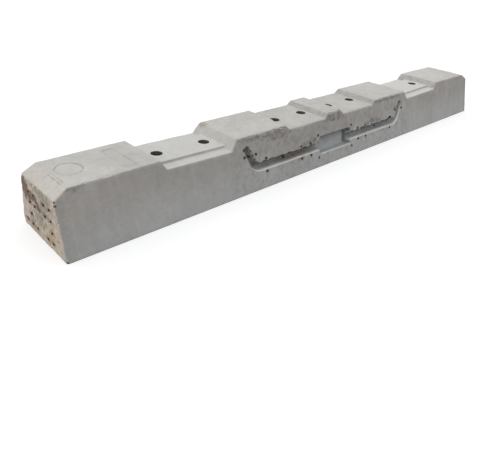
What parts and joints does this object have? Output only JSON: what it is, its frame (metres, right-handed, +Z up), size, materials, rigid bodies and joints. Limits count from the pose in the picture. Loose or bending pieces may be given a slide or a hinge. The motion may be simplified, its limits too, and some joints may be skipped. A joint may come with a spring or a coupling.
{
  "type": "concrete railway sleeper",
  "caption": "Prestressed concrete bridge sleeper with canted rail seats, guard-rail seats, through bolt holes and a cable groove with a pocket in one side.",
  "frame": {"origin": "middle of the flat underside", "axes": "+X along the sleeper, +Z up out of the underside, and the side with the cable groove faces -Y"},
  "size_m": [2.6, 0.3284, 0.225],
  "materials": {
    "concrete": "cast concrete, matt, with pores and laitance",
    "wire_steel": "cut ends of prestressing wire, dark rust"
  },
  "bodies": {
    "root": {"sleeper_body": "concrete", "prestressing_wire_01": "wire_steel", "prestressing_wire_02": "wire_steel", "prestressing_wire_03": "wire_steel", "prestressing_wire_04": "wire_steel", "prestressing_wire_05": "wire_steel", "prestressing_wire_06": "wire_steel", "prestressing_wire_07": "wire_steel", "prestressing_wire_08": "wire_steel", "prestressing_wire_09": "wire_steel", "prestressing_wire_10": "wire_steel", "prestressing_wire_11": "wire_steel", "prestressing_wire_12": "wire_steel", "prestressing_wire_13": "wire_steel", "prestressing_wire_14": "wire_steel"}
  },
  "joints": []
}
